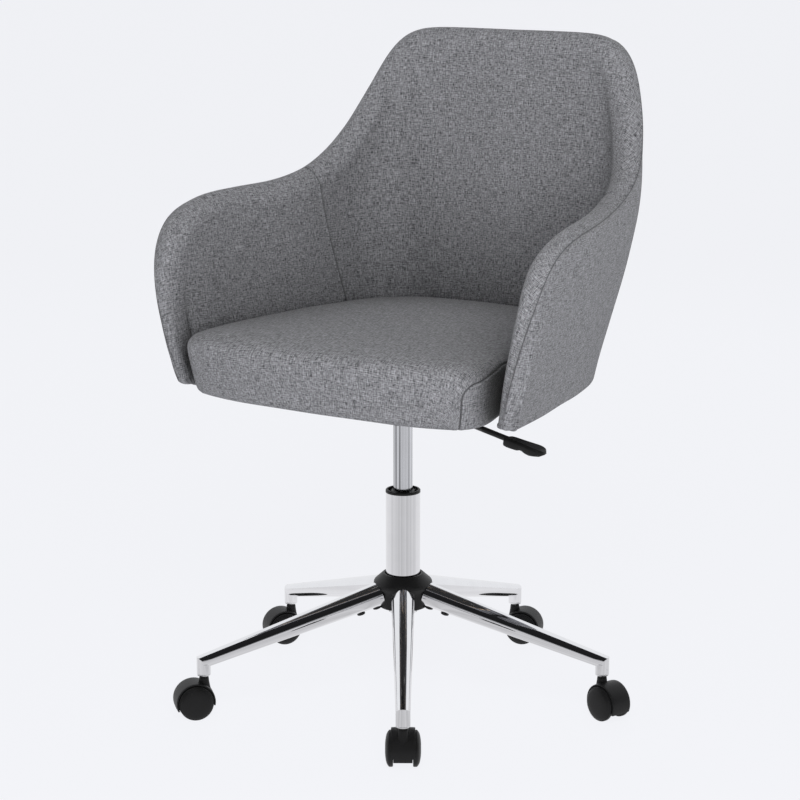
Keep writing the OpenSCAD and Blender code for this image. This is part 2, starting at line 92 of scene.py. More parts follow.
def grid_faces(rows, columns, wrap_rows=False, wrap_columns=False, flip=False):
    """Quads over a rows x columns grid of points that are numbered row by row."""
    from_row = np.arange(rows - (not wrap_rows))
    from_column = np.arange(columns - (not wrap_columns))
    i, j = np.meshgrid(from_row, from_column, indexing="ij")
    i2, j2 = (i + 1) % rows, (j + 1) % columns
    quads = np.stack([i * columns + j, i * columns + j2, i2 * columns + j2, i2 * columns + j], -1)
    quads = quads.reshape(-1, 4)
    return quads[:, ::-1] if flip else quads


def lathe(profile, steps, ring=False):
    """A closed solid round Z from (radius, height) points. A ring's profile joins up with its start."""
    profile = np.array(profile, float)
    angle = np.arange(steps) * 2 * math.pi / steps
    circle = np.stack([np.cos(angle), np.sin(angle)], -1)
    points = np.zeros((len(profile), steps, 3))
    points[..., :2] = circle[None] * profile[:, None, :1]
    points[..., 2] = profile[:, None, 1]
    faces = [list(f) for f in grid_faces(len(profile), steps, ring, True)]
    return points.reshape(-1, 3), faces


def loft(rings, capped=True):
    """A closed solid through rings, an array of (rings, points, 3)."""
    rings = np.array(rings)
    n, m = rings.shape[:2]
    faces = [list(f) for f in grid_faces(n, m, wrap_columns=True)]
    if capped:
        faces += [list(range(m))[::-1], list(range((n - 1) * m, n * m))]
    return rings.reshape(-1, 3), faces


def joined(*parts):
    points, faces, start = [], [], 0
    for p, f in parts:
        points.append(np.array(p))
        faces += [[i + start for i in face] for face in f]
        start += len(p)
    return np.concatenate(points), faces


def turned(angle, move=(0, 0, 0)):
    """Turns points round Z by an angle in degrees, then moves them."""
    c, s = math.cos(math.radians(angle)), math.sin(math.radians(angle))
    return lambda p: np.asarray(p) @ np.array([[c, s, 0], [-s, c, 0], [0, 0, 1]]) + np.array(move)


def mesh_of(name, points, faces):
    mesh = bpy.data.meshes.new(name)
    mesh.from_pydata([tuple(p) for p in points], [], [tuple(int(i) for i in f) for f in faces])
    return mesh


def placed(name, data):
    """A new object with this data, in the scene."""
    obj = bpy.data.objects.new(name, data)
    scene.collection.objects.link(obj)
    return obj


def finished(mesh, merged=False):
    """Makes the mesh's outward side consistent and shades it smooth. Merged welds points that coincide."""
    made = bmesh.new()
    made.from_mesh(mesh)
    if merged:
        bmesh.ops.remove_doubles(made, verts=made.verts, dist=1e-6)
        bmesh.ops.dissolve_degenerate(made, edges=made.edges, dist=1e-7)
    bmesh.ops.recalc_face_normals(made, faces=made.faces)
    made.to_mesh(mesh)
    made.free()
    mesh.polygons.foreach_set("use_smooth", [True] * len(mesh.polygons))


def piece(name, shape, body, slot, replaces, sharp=35, bevel=0):
    """A finished object on its body. Edges past sharp degrees stay crisp."""
    mesh = mesh_of(name, *shape)
    finished(mesh, merged=True)
    mesh.set_sharp_from_angle(angle=math.radians(sharp))
    mesh.materials.append(look[slot])
    obj = placed(name, mesh)
    if bevel:
        edge = obj.modifiers.new("edge", "BEVEL")
        edge.width = bevel
        edge.segments = 3
        edge.angle_limit = math.radians(35)
        edge.harden_normals = True
    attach(obj, body)
    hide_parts(*replaces)
    return obj


# ---------- Materials ----------
def add(tree, kind, inputs=(), **properties):
    made = tree.nodes.new("ShaderNode" + kind)
    for key, value in properties.items():
        setattr(made, key, value)
    for key, value in dict(inputs).items():
        if isinstance(value, bpy.types.NodeSocket):
            tree.links.new(value, made.inputs[key])
        else:
            made.inputs[key].default_value = value
    return made


def maths(tree, operation, a, b=0.0):
    return add(tree, "Math", {0: a, 1: b}, operation=operation).outputs[0]


def tinted(tree, colour, by):
    """One colour multiplied by another."""
    made = add(tree, "Mix", {0: 1.0, 6: colour, 7: by}, data_type="RGBA", blend_type="MULTIPLY")
    return made.outputs[2]


def textured(tree, vector, scale, detail):
    return add(tree, "TexNoise", {"Vector": vector, "Scale": scale, "Detail": detail}).outputs["Fac"]


def surface(name, **sockets):
    """A material with a Principled shader, whose sockets are set by name with _ for each space."""
    material = bpy.data.materials.new(name)
    material.use_nodes = True
    shader = material.node_tree.nodes["Principled BSDF"]
    for key, value in sockets.items():
        shader.inputs[key.replace("_", " ")].default_value = value
    return material, material.node_tree, shader


def ramp(tree, factor, low, high, low_at=0.3, high_at=0.7):
    made = add(tree, "ValToRGB", {"Fac": factor})
    ends = made.color_ramp.elements
    ends[0].position, ends[1].position = low_at, high_at
    ends[0].color, ends[1].color = (*low, 1), (*high, 1)
    return made.outputs["Color"]


def grey(value, tint=1.0):
    return (value, value, value * tint)


def bumped(tree, shader, height, distance, strength=1.0):
    bump = add(tree, "Bump", {"Height": height, "Distance": distance, "Strength": strength})
    tree.links.new(bump.outputs["Normal"], shader.inputs["Normal"])


def fabric():
    """Heather linen. The thread attribute holds metres along the weft and the warp, and a panel number."""
    material, tree, shader = surface("grey_fabric", Roughness=0.93, Sheen_Weight=0.12, Sheen_Roughness=0.5,
                                     Specular_IOR_Level=0.22)
    thread = add(tree, "Attribute", attribute_name="thread").outputs["Vector"]

    def streaks(weft, warp):
        scaled = add(tree, "VectorMath", {0: thread, 1: (weft, warp, 1.0)}, operation="MULTIPLY")
        return textured(tree, scaled.outputs[0], 1.0, 0.0)

    slubs = maths(tree, "ADD", streaks(50, 700), streaks(700, 50))
    yarns = maths(tree, "ADD", streaks(180, 820), streaks(820, 180))
    total = maths(tree, "ADD", maths(tree, "MULTIPLY", slubs, 0.4), maths(tree, "MULTIPLY", yarns, 0.6))
    yarn = ramp(tree, maths(tree, "MULTIPLY", total, 0.5), FABRIC_DARK, FABRIC_LIGHT, 0.34, 0.66)
    # Painted shade: the colour darkens to near black along each seam's groove, where the seam attribute is
    # high
    crease = add(tree, "Attribute", attribute_name="seam").outputs["Fac"]
    seam_shaded = add(tree, "Mix", {0: crease, 6: yarn, 7: (*grey(0.07, 1.05), 1)}, data_type="RGBA")
    # Shade in the corners: a gentle fall all over, and a second, steep one in the deepest gaps
    seen = add(tree, "AmbientOcclusion", {"Distance": SHADE_REACH}, samples=4).outputs["AO"]
    gentle = maths(tree, "SUBTRACT", maths(tree, "MULTIPLY", seen, 1.12), 0.12)
    steep = maths(tree, "MAXIMUM", maths(tree, "DIVIDE", seen, 0.38), 0.32)
    steep = maths(tree, "SUBTRACT", maths(tree, "MINIMUM", steep, 1.32), 0.32)
    shade = maths(tree, "MULTIPLY", maths(tree, "MAXIMUM", gentle, 0.01), steep)
    tree.links.new(tinted(tree, seam_shaded.outputs[2], shade), shader.inputs["Base Color"])
    split = add(tree, "SeparateXYZ", {0: thread})
    waves = [maths(tree, "MULTIPLY", split.outputs[k], 2 * math.pi / YARN_PITCH) for k in (0, 1)]
    plain = maths(tree, "MULTIPLY", maths(tree, "SINE", waves[0]), maths(tree, "SINE", waves[1]))
    height = maths(tree, "ADD", maths(tree, "MULTIPLY", plain, 0.35), maths(tree, "MULTIPLY", total, 0.5))
    bumped(tree, shader, height, 0.5 * MM, 0.8)
    return material


def speckled(name, base, light, rough, grain, depth=0.06 * MM, **sockets):
    """A solid colour with a moulded or coated grain, and roughness that varies slightly."""
    material, tree, shader = surface(name, **sockets)
    place = add(tree, "TexCoord").outputs["Object"]
    fine = textured(tree, place, grain, 2.0)
    broad = textured(tree, place, 22.0, 3.0)
    tree.links.new(ramp(tree, broad, base, light), shader.inputs["Base Color"])
    uneven = maths(tree, "ADD", maths(tree, "MULTIPLY", broad, 0.12), rough - 0.06)
    tree.links.new(uneven, shader.inputs["Roughness"])
    bumped(tree, shader, fine, depth)
    return material


def plated(name, colour, rough, smudge, drawn=0.0):
    """Polished or satin plate with faint smudges in its gloss, and drawing lines along an upright tube."""
    material, tree, shader = surface(name, Metallic=1.0)
    place = add(tree, "TexCoord").outputs["Object"]
    broad = textured(tree, place, 35.0, 4.0)
    base = ramp(tree, broad, [c * 0.96 for c in colour], colour)
    if drawn:
        lined = add(tree, "VectorMath", {0: place, 1: (230.0, 230.0, 0.6)}, operation="MULTIPLY")
        lines = textured(tree, lined.outputs[0], 1.0, 1.0)
        base = tinted(tree, base, ramp(tree, lines, grey(1 - drawn), grey(1.0), 0.42, 0.58))
    tree.links.new(base, shader.inputs["Base Color"])
    uneven = maths(tree, "ADD", maths(tree, "MULTIPLY", broad, smudge), rough)
    tree.links.new(uneven, shader.inputs["Roughness"])
    return material


def plywood():
    material, tree, shader = surface("plywood", Roughness=0.7)
    place = add(tree, "TexCoord").outputs["Object"]
    stretched = add(tree, "VectorMath", {0: place, 1: (6.0, 90.0, 90.0)}, operation="MULTIPLY")
    grain = textured(tree, stretched.outputs[0], 1.0, 4.0)
    tree.links.new(ramp(tree, grain, (0.42, 0.29, 0.17), (0.62, 0.47, 0.31)), shader.inputs["Base Color"])
    bumped(tree, shader, grain, 0.2 * MM)
    return material


FABRIC_DARK = (0.049, 0.0492, 0.053)
FABRIC_LIGHT = (0.352, 0.353, 0.371)
YARN_PITCH = 1.8 * MM
SHADE_REACH = 200 * MM

look = {
    "grey_fabric": fabric(),
    "chrome": plated("chrome", (0.88, 0.88, 0.895), 0.035, 0.03),
    "satin_steel": plated("satin_steel", (0.78, 0.79, 0.82), 0.14, 0.08, 0.7),
    "zinc_steel": plated("zinc_steel", (0.62, 0.62, 0.60), 0.3, 0.12),
    "black_plastic": speckled("black_plastic", grey(0.007), grey(0.010, 1.05), 0.40, 900.0, 0.05 * MM,
                              Specular_IOR_Level=0.22),
    "black_steel": speckled("black_steel", grey(0.006), grey(0.010, 1.04), 0.36, 500.0, 0.08 * MM,
                            Specular_IOR_Level=0.35),
    "rubber": speckled("rubber", grey(0.02), grey(0.032), 0.8, 500.0),
    "plywood": plywood(),
    "dust_cloth": speckled("dust_cloth", grey(0.012), grey(0.03), 0.95, 1500.0, 0.3 * MM),
}

# Every CAD node that stays visible takes the look of its slot in the record
for part in frame["record"]["subparts"]:
    shown = frame["nodes"][part["node"]]
    shown.data.materials.clear()
    shown.data.materials.append(look[part["material_slot"]])


# ---------- Upholstered shell ----------
# Wall thickness along the shell and at an arm's front end, and the rounded rim's height and squareness
WALL_T, FRONT_T, EDGE_H, CAP_POWER = 42 * MM, 31 * MM, 17 * MM, 2.6
# How far the padding stands out at its fullest, all along the wall and as much again round the back's sides
FULL_ALL, FULL_BACK = 5 * MM, 8.5 * MM
SEAT_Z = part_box("seat_board")[0].z
# Rim seam from an arm's lower front corner to the middle of the back's top, in millimetres
RIM_LINE = np.array([
    (264, -172, 470), (285, -191, 540), (315, -178, 642), (320, -132, 708), (322, -30, 724),
    (282, 103, 725), (269, 215, 762), (231, 280, 868), (188, 313, 953), (116, 323, 949), (0, 324, 948),
]) * MM
# Lower outer edge from the same corner to the middle of the back, in plan
FOOT_LINE = np.array([
    (270, -158, 0), (272, -146, 0), (269, -100, 0), (256, -10, 0), (243, 70, 0), (226, 150, 0),
    (197, 217, 0), (152, 268, 0), (92, 282, 0), (48, 284, 0), (0, 284, 0),
]) * MM + np.array((0, 0, SEAT_Z - 2.5 * MM))
UP = np.array((0.0, 0.0, 1.0))
# The lower edge's rounding, its rise at the front, and how much lower the rim's inner side is than its outer
FOOT_ROUND = 8 * MM
TOE_LIFT = 9 * MM
ROLL_DEPTH = 14 * MM
# Where along the rim the upright inner seam meets it, from 0 at the front to 1 at the back's middle
SEAM_T = 0.543
# The arc that the back's plan is near to, for the cloth's threads
BACK_CENTRE_Y, BACK_R = 60 * MM, 267 * MM
# Width of the painted shade along each seam
SEAM_DARK = 0.75 * MM
CLOTH_FRAMES = 20


def spline(points, t):
    """Points at t, from 0 to 1, of the clamped cubic B-spline that the control points shape."""
    n = len(points)
    knots = np.clip((np.arange(n + 4) - 3) / (n - 3), 0, 1)
    s = np.clip(t, 0, 0.99999)[:, None]
    weight = ((knots[:-1] <= s) & (s < knots[1:])).astype(float)
    for k in (1, 2, 3):
        a, b = knots[: n + 3 - k], knots[k : n + 3]
        c, d = knots[k + 1 : n + 4], knots[1 : n + 4 - k]
        rising = np.where(b > a, (s - a) / np.where(b > a, b - a, 1), 0) * weight[:, : n + 3 - k]
        falling = np.where(c > d, (c - s) / np.where(c > d, c - d, 1), 0) * weight[:, 1 : n + 4 - k]
        weight = rising + falling
    return weight @ points


def heading(points, t):
    return unit(spline(points, t + 0.001) - spline(points, t - 0.001))


class Wall:
    """The shell's wall at each t: the same surface as the CAD padding, as smooth as it is sampled."""

    def __init__(self, t):
        self.seam = spline(RIM_LINE, t)
        self.foot = spline(FOOT_LINE, t) + UP * (TOE_LIFT * np.clip(1 - t / 0.04, 0, 1) ** 2)[:, None]
        rise = unit(self.seam - self.foot)
        run = heading(RIM_LINE, t)
        self.out_top = unit(np.cross(run, rise))
        self.out_foot = unit(np.cross(heading(FOOT_LINE, t), UP))
        across = unit(np.cross(self.out_top, run))
        self.up = across * np.sign(np.sum(across * rise, -1, keepdims=True))
        self.thick = mix(FRONT_T, WALL_T, np.clip(t / 0.2, 0, 1))[:, None]
        share = (0.45 + 0.33 * np.clip(t / 0.15, 0, 1))[:, None]
        drop = (1 - share**CAP_POWER) ** (1 / CAP_POWER)
        self.seam_angle = np.arctan2(drop, share)
        self.edge = self.seam - self.up * EDGE_H * drop + self.out_top * (1 - share) * self.thick / 2
        self.full = (FULL_ALL + FULL_BACK * np.exp(-(((t - 0.7) / 0.14) ** 2)))[:, None]
        self.length = np.linalg.norm(self.edge - self.foot, axis=-1, keepdims=True)

    def side(self, v, depth):
        """Point at height share v, at a depth below the outer surface."""
        out = unit(mix(self.out_foot, self.out_top, v))
        edge = self.edge - self.up * ROLL_DEPTH * np.clip(depth / self.thick, 0, 1) ** 2
        return mix(self.foot, edge, v) + out * (self.full * 6.75 * v * v * (1 - v) - depth)

    def cap(self, angle):
        """Point of the rounded rim, from the outer side at 0 to the inner side at pi."""
        a, b = np.cos(angle), np.sin(angle)
        k = (np.abs(a) ** CAP_POWER + np.abs(b) ** CAP_POWER) ** (-1 / CAP_POWER)
        soft = ROLL_DEPTH * np.clip(-a * k, 0, 1) ** 2
        return self.edge - self.out_top * self.thick / 2 * (1 - a * k) + self.up * (EDGE_H * b * k - soft)


def spaced(low, high, count, dense_at, pull, width):
    """Values from low to high that crowd together round dense_at."""
    fine = np.linspace(low, high, 4001)
    rate = 1 + pull * np.exp(-(((fine - dense_at) / width) ** 2))
    total = np.concatenate([[0], np.cumsum((rate[1:] + rate[:-1]) / 2)])
    return np.interp(np.linspace(0, total[-1], count), total, fine)


def plan_chart(p):
    """Metres of cloth round the chair's plan, and height: the straight arms, then the curved back."""
    x, y = np.abs(p[..., 0]), p[..., 1]
    turn = np.arctan2(x, np.maximum(y - BACK_CENTRE_Y, 1e-6))
    round_back = BACK_R * np.minimum(turn, math.pi / 2)
    ahead = np.maximum(BACK_CENTRE_Y - y, 0)
    return np.stack([(round_back + ahead) * np.sign(p[..., 0]), p[..., 2]], -1)


def along(points, axis):
    """Distance travelled along one axis of a grid of points."""
    step = np.linalg.norm(np.diff(points, axis=axis), axis=-1)
    pad = [(0, 0), (0, 0)]
    pad[axis] = (1, 0)
    return np.pad(np.cumsum(step, axis=axis), pad)


def grid_normals(points, wrap):
    """Unit normals of a grid of points; wrap says that its second axis closes on itself."""
    du = np.gradient(points, axis=0)
    dv = (np.roll(points, -1, 1) - np.roll(points, 1, 1)) if wrap else np.gradient(points, axis=1)
    return unit(np.cross(dv, du))


def stitched(distance, run):
    """Height change near a seam: a tight groove, a swell beside it, and a pucker at each stitch."""
    d = np.abs(distance)
    groove = -1.7 * MM * np.exp(-((d / (1.2 * MM)) ** 2))
    swell = 0.35 * MM * np.exp(-(((d - 5 * MM) / (4 * MM)) ** 2))
    wave = np.sin(run * 2 * math.pi / (6.5 * MM)) * np.sin(run * 2 * math.pi / (41 * MM) + 1.0)
    pucker = 0.28 * MM * np.exp(-d / (5 * MM)) * wave * np.clip(d / (2 * MM), 0, 1)
    return groove + swell + pucker


def near_seam(distance, width):
    """1 on a seam, falling to 0 a little beyond this width from it."""
    return np.exp(-((distance / width) ** 2))


def sampled(values, rows, columns, at_rows, at_columns):
    """A coarse grid's values at finer row and column numbers."""
    across = np.array([np.interp(at_columns, columns, line) for line in values])
    return np.array([np.interp(at_rows, rows, line) for line in across.T]).T


def inflated(points, held, most):
    """Height that air pressure gives each point of a grid of cloth whose held points are sewn down."""
    n, m = points.shape[:2]
    rows = np.unique(np.linspace(0, n - 1, 60).round().astype(int))
    columns = np.unique(np.linspace(0, m - 1, 44).round().astype(int))
    rest = points[np.ix_(rows, columns)]
    sheet = placed("cloth", mesh_of("cloth", rest.reshape(-1, 3), grid_faces(len(rows), len(columns))))
    pin = sheet.vertex_groups.new(name="pin")
    around = [[held[max(r - 2, 0) : r + 3, max(c - 2, 0) : c + 3] for c in columns] for r in rows]
    for index, patch in enumerate(sum(around, [])):
        pin.add([index], float(patch.max()), "REPLACE")
    cloth = sheet.modifiers.new("cloth", "CLOTH")
    cloth.settings.quality = 6
    cloth.settings.mass = 0.3
    cloth.settings.tension_stiffness = 20
    cloth.settings.compression_stiffness = 8
    cloth.settings.shear_stiffness = 6
    cloth.settings.bending_stiffness = 0.6
    cloth.settings.use_pressure = True
    cloth.settings.uniform_pressure_force = 4
    cloth.settings.effector_weights.gravity = 0
    cloth.settings.vertex_group_mass = "pin"
    cloth.collision_settings.use_collision = False
    cloth.collision_settings.use_self_collision = False
    for frame_number in range(1, CLOTH_FRAMES + 1):
        scene.frame_set(frame_number)
    graph = bpy.context.evaluated_depsgraph_get()
    blown = sheet.evaluated_get(graph).to_mesh()
    moved = np.zeros(len(blown.vertices) * 3)
    blown.vertices.foreach_get("co", moved)
    sheet.evaluated_get(graph).to_mesh_clear()
    bpy.data.objects.remove(sheet)
    scene.frame_set(1)
    rise = np.linalg.norm(moved.reshape(rest.shape) - rest, axis=-1)
    for _ in range(3):
        for axis in (0, 1):
            rise = (np.roll(rise, 1, axis) + 2 * rise + np.roll(rise, -1, axis)) / 4
            rise.swapaxes(0, axis)[[0, -1]] *= 0.5
    rise *= most / max(rise.max(), 1e-9)
    fine = sampled(rise, rows, columns, np.arange(n), np.arange(m))
    return fine * (1 - held)


def undulation(points, scale, height, offset):
    """Slow unevenness of foam under cloth."""
    flat = points.reshape(-1, 3)
    wave = [noise.noise(Vector(p * scale) + Vector((offset, 0, 0))) for p in flat]
    return np.array(wave).reshape(points.shape[:-1]) * height


def padded_cover(name, points, thread, seam, wrap_rows, ends, replaces):
    """A fabric piece from a grid of points, with its thread chart and the painted shade along its seams at
    each of them.
    """
    n, m = points.shape[:2]
    mesh = mesh_of(name, points.reshape(-1, 3), list(grid_faces(n, m, wrap_rows, True)) + ends)
    threads = mesh.attributes.new("thread", "FLOAT_VECTOR", "POINT")
    threads.data.foreach_set("vector", thread.astype(np.float32).ravel())
    darkness = mesh.attributes.new("seam", "FLOAT", "POINT")
    darkness.data.foreach_set("value", seam.astype(np.float32).ravel())
    finished(mesh)
    mesh.materials.append(look["grey_fabric"])
    obj = placed(name, mesh)
    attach(obj, "seat")
    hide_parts(*replaces)


def wall_rows(wall, heights, inner):
    """Rows of the outer or the inner side, whose foot is rounded under, with their chart."""
    rows = []
    for v in heights:
        short = np.clip(1 - v * wall.length / FOOT_ROUND, 0, 1)
        inset = FOOT_ROUND * (1 - np.sqrt(1 - short**2))
        rows.append(wall.side(v, wall.thick - inset if inner else inset))
    return rows, [plan_chart(p) for p in rows]


def rim_rows(wall, start, angles):
    """Rows of the rounded rim, walked from start, with the side's chart carried on over the edge."""
    origin = plan_chart(start)
    tilt = plan_chart(start + wall.up * MM) - origin
    tilt = tilt / np.maximum(np.linalg.norm(tilt, axis=-1, keepdims=True), 1e-9)
    rows, charts, last, travelled = [], [], start, 0
    for angle in angles:
        p = wall.cap(angle)
        travelled = travelled + np.linalg.norm(p - last, axis=-1, keepdims=True)
        rows.append(p)
        charts.append(origin + tilt * travelled)
        last = p
    return rows, charts


def shell():
    """The whole padded cover: outer side, rim, inner side and underside, with its two kinds of seam."""
    t = spaced(0.002, 1, 230, SEAM_T, 5.0, 0.015)
    wall = Wall(t)
    close = np.array([0.018, 0.04, 0.07, 0.11, 0.16, 0.23, 0.32])
    rising = np.concatenate([[0.0], np.sort(1 - close)]) * wall.seam_angle
    falling = np.concatenate([close, np.linspace(0.42, 1, 20)]) * (math.pi - wall.seam_angle)
    falling = falling + wall.seam_angle
    outer, outer_chart = wall_rows(wall, np.linspace(0, 1, 50)[:-1], False)
    lap, lap_chart = rim_rows(wall, wall.edge, rising.T[..., None])
    inner, inner_chart = wall_rows(wall, np.linspace(1, 0, 52)[1:], True)
    over, over_chart = rim_rows(wall, wall.cap(math.pi), falling.T[::-1, :, None])
    last_step = np.linalg.norm(over[-1] - wall.seam, axis=-1, keepdims=True)
    seam_chart = over_chart[-1] + unit(over_chart[-1] - over_chart[-2]) * last_step
    shares = np.linspace(0, 1, 8)[1:-1]
    under = [mix(inner[-1], outer[0], share) for share in shares]
    under_chart = [mix(inner_chart[-1], outer_chart[0], share) for share in shares]
    points = np.stack(outer + lap + [wall.seam] + over[::-1] + inner + under, 1)
    chart = np.stack(outer_chart + lap_chart + [seam_chart] + over_chart[::-1] + inner_chart + under_chart, 1)
    seam_row = len(outer) + len(lap)
    cross = np.argmin(np.abs(t - SEAM_T))
    row = np.arange(points.shape[1])[None, :]
    rim = along(points, 1) - along(points, 1)[:, seam_row, None]
    inner_side = np.clip((rim - 15 * MM) / (6 * MM), 0, 1) * (row < points.shape[1] - len(under))
    fade = np.clip(t / 0.03, 0, 1)[:, None]
    upright = along(points, 0) - along(points, 0)[cross]
    foot_rows = (row < 2) | (row >= points.shape[1] - len(under) - 2)
    held = np.maximum(near_seam(rim, 6 * MM), inner_side * near_seam(upright, 6 * MM))
    held = np.maximum(held, foot_rows)
    height = stitched(rim, along(points, 0)[:, seam_row, None]) * fade
    height = height + stitched(upright, along(points, 1)[cross]) * inner_side
    # Painted shade along the rim seam and the upright inner seam, fading out at the arm's front end
    dark = np.maximum(near_seam(rim, SEAM_DARK) * fade, inner_side * near_seam(upright, SEAM_DARK))
    height = height + inflated(points, held, 3.5 * MM) + undulation(points, 14.0, 0.9 * MM, 3.0)
    points = points + grid_normals(points, True) * height[..., None]
    panel = np.where(row < seam_row, 0.0, np.where(t[:, None] < SEAM_T, 5.0, 9.0))
    thread = np.concatenate([chart, panel[..., None]], -1)
    middle = points[0].mean(0)
    ahead = unit(middle - points[2].mean(0))
    rounding = [middle + (points[0] - middle) * math.cos(a) + ahead * TOE_LIFT * math.sin(a)
                for a in np.radians([84, 74, 63, 52, 41, 30, 20, 10])]
    points = np.concatenate([np.array(rounding), points])
    thread = np.concatenate([np.repeat(thread[:1], len(rounding), 0), thread])
    dark = np.concatenate([np.repeat(dark[:1], len(rounding), 0), dark])
    points = np.concatenate([points, points[-2::-1] * (-1, 1, 1)])
    thread = np.concatenate([thread, thread[-2::-1] * (-1, 1, 1)])
    dark = np.concatenate([dark, dark[-2::-1]])
    n, m = points.shape[:2]
    ends = [list(range(m))[::-1], list(range((n - 1) * m, n * m))]
    padded_cover("shell_cover", points, thread, dark, False, ends,
                 ["arm_padding_left", "back_padding", "arm_padding_right"])


shell()


# ---------- Seat cover ----------
# Half the cushion's plan outline at its widest, from the front to the back, in millimetres
CUSHION_LINE = np.array([
    (0, -236), (70, -236), (170, -229), (230, -216), (246, -180), (242, -95), (233, -30),
    (222, 40), (204, 120), (188, 178), (155, 222), (105, 241), (50, 246), (0, 246),
]) * MM
CUSHION_CENTRE = np.array((0, 5)) * MM
CUSHION_HALF = 240 * MM
FRONT_TUCK = 0.4
# The cushion's side from the bottom to the crown: how far it draws in all round, how far it tucks in
# between the arms, and its height over the seat's underside
CUSHION_SIDE = np.array([
    (60, 32, 1.5), (30, 32, 0), (9, 30, 0), (2, 25, 3), (1, 19, 18), (1, 11, 36), (1, 3, 56), (1, 0, 69),
    (4, 0, 79), (14, 0, 86), (34, 0, 90), (75, 0, 93.5), (140, 0, 95.5), (239, 0, 96),
]) * MM
# The side panel's seam: where along the outline it rises, its height, and the rounding of its corner
SEAM_CORNER = 0.190
SEAM_TOP = 66 * MM
SEAM_ROUND = 25 * MM
# Height at which the top panel's threads turn down over the front
SEAT_FOLD = 83 * MM


def seat():
    """The seat's cover: a top panel that runs down the front, and a side panel behind each front corner."""
    half = spaced(0, 1, 170, SEAM_CORNER, 4.0, 0.06)
    outline = spline(CUSHION_LINE, half)
    rows_at = spaced(0, 1, 130, 0.60, 1.6, 0.16)
    inset, tuck, rise = spline(CUSHION_SIDE, rows_at).T
    hold = np.clip((outline[:, 1] + 180 * MM) / (110 * MM), 0, 1)
    hold = mix(FRONT_TUCK, 1, hold * hold * (3 - 2 * hold))[:, None]
    x = outline[:, :1] * (1 - (inset + hold * tuck) / CUSHION_HALF)
    y = mix(CUSHION_CENTRE[1], outline[:, 1:], 1 - (inset + FRONT_TUCK * tuck) / CUSHION_HALF)
    points = np.stack([x, y, np.broadcast_to(rise + SEAT_Z, x.shape)], -1)
    flat = points[..., :2]
    rising = along(points, 1)
    walked = along(points, 0)
    widest = np.argmin(inset + tuck)
    order = np.arange(len(rise))
    corner = np.argmin(np.abs(half - SEAM_CORNER))
    behind = (walked - walked[corner])[:, widest, None]
    top = np.argmin(np.abs(rise - SEAM_TOP) + (order < widest))
    fold = np.argmin(np.abs(rise - SEAT_FOLD) + (order < widest))
    climb = 0.24 * np.clip(behind - SEAM_ROUND, 0, 60 * MM)
    below = rising[:, top, None] + climb - rising
    inside = np.stack([SEAM_ROUND - behind + 0 * below, SEAM_ROUND - below], -1)
    rounded = (inside > 0).all(-1)
    distance = np.where(rounded, SEAM_ROUND - np.linalg.norm(inside, axis=-1), np.minimum(behind, below))
    run = np.where(below > behind, below, behind)
    held = np.maximum(near_seam(distance, 5 * MM), (order < 6)[None] * 1.0)
    height = stitched(distance, run) + inflated(points, held, 4 * MM)
    height = height + undulation(points, 11.0, 1.4 * MM, 8.0)
    # Painted shade along the side panel's seam
    dark = near_seam(distance, SEAM_DARK)
    crown = np.clip((rows_at - 0.93) / 0.04, 0, 1)[None, :, None]
    level = height[:, rows_at > 0.93].mean()
    out = -grid_normals(points, False)
    points = points + mix(out * height[..., None], UP * level, crown)
    points[[0, -1], :, 0] = 0
    on_side = distance > 0
    drop = np.maximum(rising[:, fold, None] - rising, 0)[..., None]
    tangent = heading(CUSHION_LINE, half)
    outward = np.stack([-tangent[:, 1], tangent[:, 0]], -1)
    outward = outward * np.sign(np.sum(outward * (outline - CUSHION_CENTRE), -1, keepdims=True))
    top_chart = np.where((order < fold)[None, :, None], flat[:, fold, None] + outward[:, None] * drop, flat)
    side_chart = np.stack([walked[:, widest, None] + 0 * rising, rising], -1)
    chart = np.where(on_side[..., None], side_chart, top_chart)
    thread = np.concatenate([chart, np.where(on_side, 3.0, 1.0)[..., None]], -1)
    points = np.concatenate([points, points[-2:0:-1] * (-1, 1, 1)])
    thread = np.concatenate([thread, thread[-2:0:-1] * (-1, 1, 1)])
    dark = np.concatenate([dark, dark[-2:0:-1]])
    n, m = points.shape[:2]
    ends = [[i * m for i in range(n)], [i * m + m - 1 for i in range(n)][::-1]]
    padded_cover("seat_cover", points, thread, dark, True, ends, ["seat_cushion"])


seat()


# ---------- Base ----------
joints = {joint["name"]: joint for joint in frame["record"]["behaviour"]["joints"]}
LEGS = 5
LEG_ROOT_R, LEG_TIP_R = 17.5 * MM, 9.95 * MM
LEG_ROOT, LEG_TIP = np.array((0.035, 0.1574)), np.array((0.300, 0.082))
SOCKET_R = 10 * MM
SOCKET_Z = 61.5 * MM
socket_at = [np.array(joints[f"caster_swivel_{n}"]["pos_m"]) for n in range(1, LEGS + 1)]
leg_turn = [math.degrees(math.atan2(p[1], p[0])) for p in socket_at]


